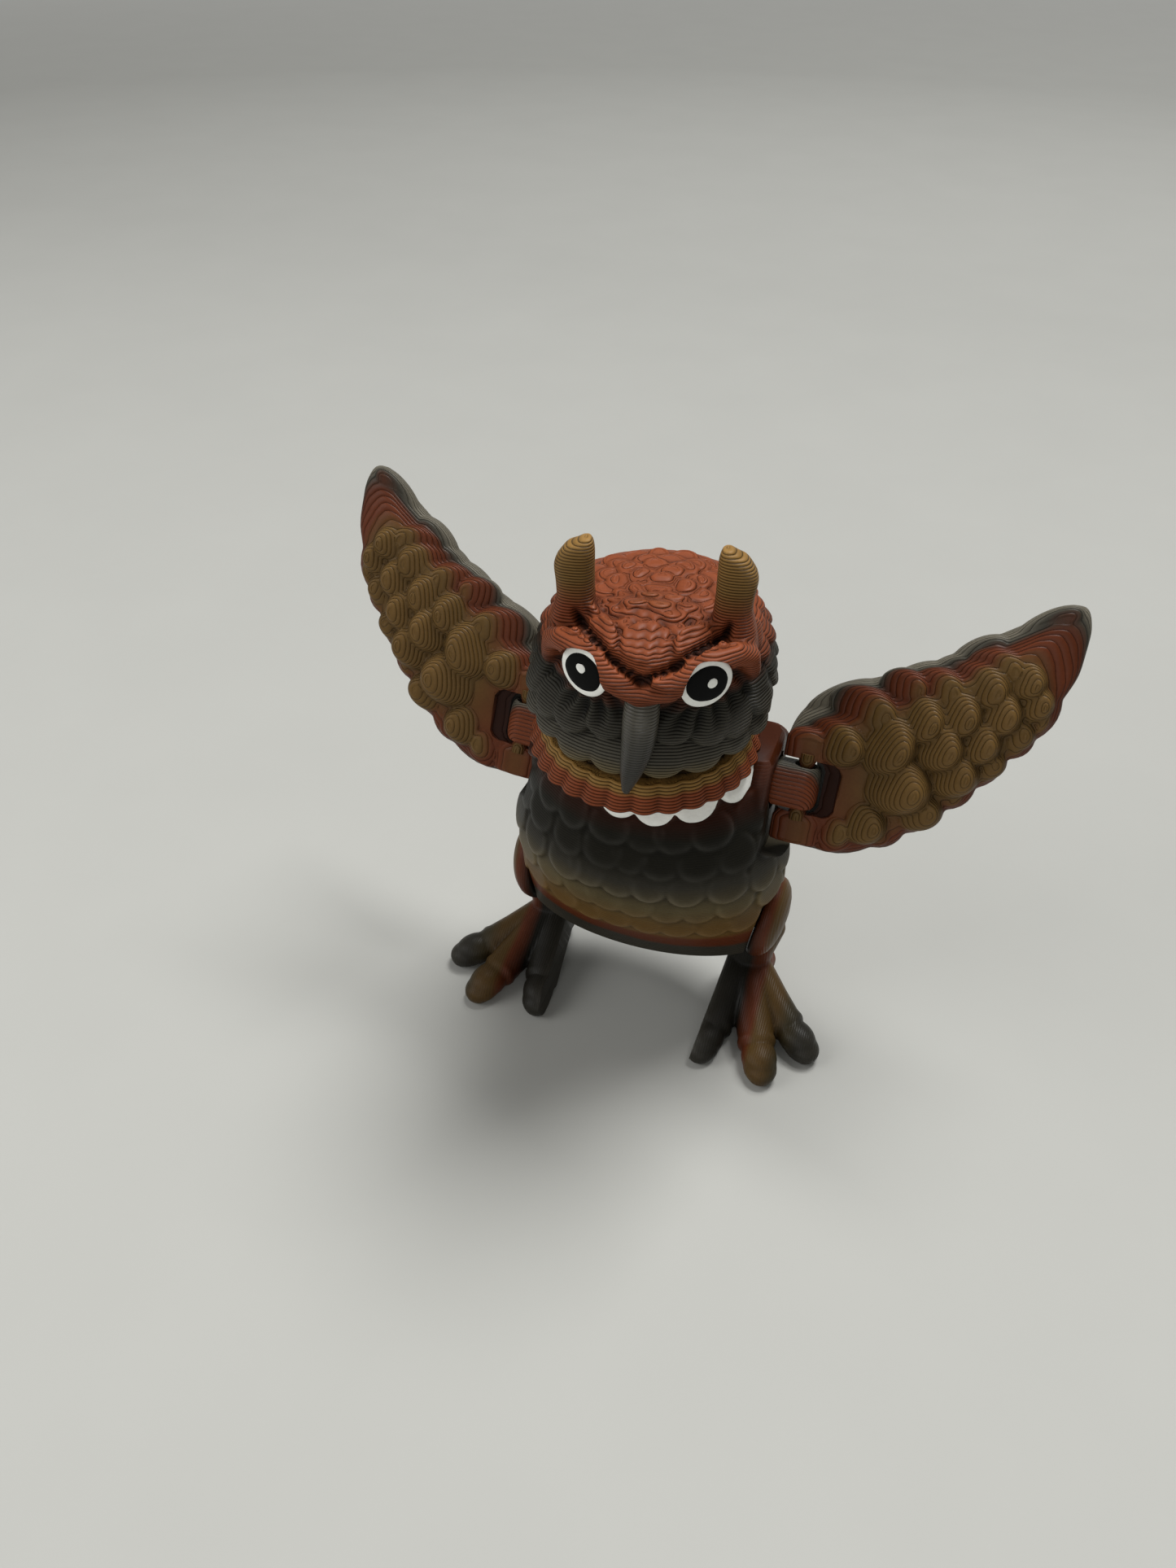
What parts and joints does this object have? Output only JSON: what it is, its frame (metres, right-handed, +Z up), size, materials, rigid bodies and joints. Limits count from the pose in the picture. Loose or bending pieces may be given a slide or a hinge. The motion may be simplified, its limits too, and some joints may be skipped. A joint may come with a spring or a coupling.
{
  "type": "articulated owl toy",
  "caption": "Standing horned owl toy in layered printed plastic, with spread feathered wings that swivel and fold, a turning head and legs that swing at the hips.",
  "frame": {"origin": "on the floor, at the middle of the bottom of the box that the whole toy fills at rest", "axes": "+Z up, the owl looks along -Y, its spread wings run along X with its own left wing on +X"},
  "size_m": [0.1057, 0.0391, 0.0862],
  "materials": {
    "torso_plastic": "satin, silky gradient from dark grey through red and ochre to grey along the print height",
    "head_plastic": "satin layered print, grey face and russet crown",
    "wing_plastic": "satin layered print, ochre feathers over a red and grey base",
    "link_plastic": "satin layered print",
    "leg_plastic": "satin layered print",
    "white_paint": "brushed acrylic paint",
    "black_paint": "brushed acrylic paint"
  },
  "bodies": {
    "torso": {"torso": "torso_plastic", "chest_paint": "white_paint"},
    "head": {"head": "head_plastic", "eye_white_left": "white_paint", "eye_white_right": "white_paint", "eye_pupil_left": "black_paint", "eye_pupil_right": "black_paint", "eye_glint_left": "white_paint", "eye_glint_right": "white_paint"},
    "shoulder_link_left": {"shoulder_link_left": "link_plastic"},
    "wing_left": {"wing_left": "wing_plastic"},
    "shoulder_link_right": {"shoulder_link_right": "link_plastic"},
    "wing_right": {"wing_right": "wing_plastic"},
    "leg_left": {"leg_left": "leg_plastic"},
    "leg_right": {"leg_right": "leg_plastic"}
  },
  "joints": [
    {"name": "head_turn", "type": "hinge", "parent": "torso", "child": "head", "pos_m": [-0.00094, -0.0002, 0.053], "axis": [0, 0, 1], "continuous": true},
    {"name": "shoulder_swivel_left", "type": "hinge", "parent": "torso", "child": "shoulder_link_left", "pos_m": [0.01606, 0.0041, 0.0455], "axis": [1, 0, 0], "range_deg": [-60, 60]},
    {"name": "wing_fold_left", "type": "hinge", "parent": "shoulder_link_left", "child": "wing_left", "pos_m": [0.02046, 0.0041, 0.0455], "axis": [0, 0.3584, 0.9336], "range_deg": [-45, 60]},
    {"name": "shoulder_swivel_right", "type": "hinge", "parent": "torso", "child": "shoulder_link_right", "pos_m": [-0.01794, 0.0041, 0.0455], "axis": [0.9976, -0.025, -0.0651], "range_deg": [-60, 60]},
    {"name": "wing_fold_right", "type": "hinge", "parent": "shoulder_link_right", "child": "wing_right", "pos_m": [-0.02233, 0.00421, 0.04579], "axis": [-0.0698, -0.3575, -0.9313], "range_deg": [-45, 60]},
    {"name": "hip_swing_left", "type": "hinge", "parent": "torso", "child": "leg_left", "pos_m": [0.01686, 0.0029, 0.0196], "axis": [0.9833, 0, -0.1822], "range_deg": [-25, 25]},
    {"name": "hip_swing_right", "type": "hinge", "parent": "torso", "child": "leg_right", "pos_m": [-0.01874, 0.0029, 0.0196], "axis": [0.9833, 0, 0.1822], "range_deg": [-25, 25]}
  ]
}
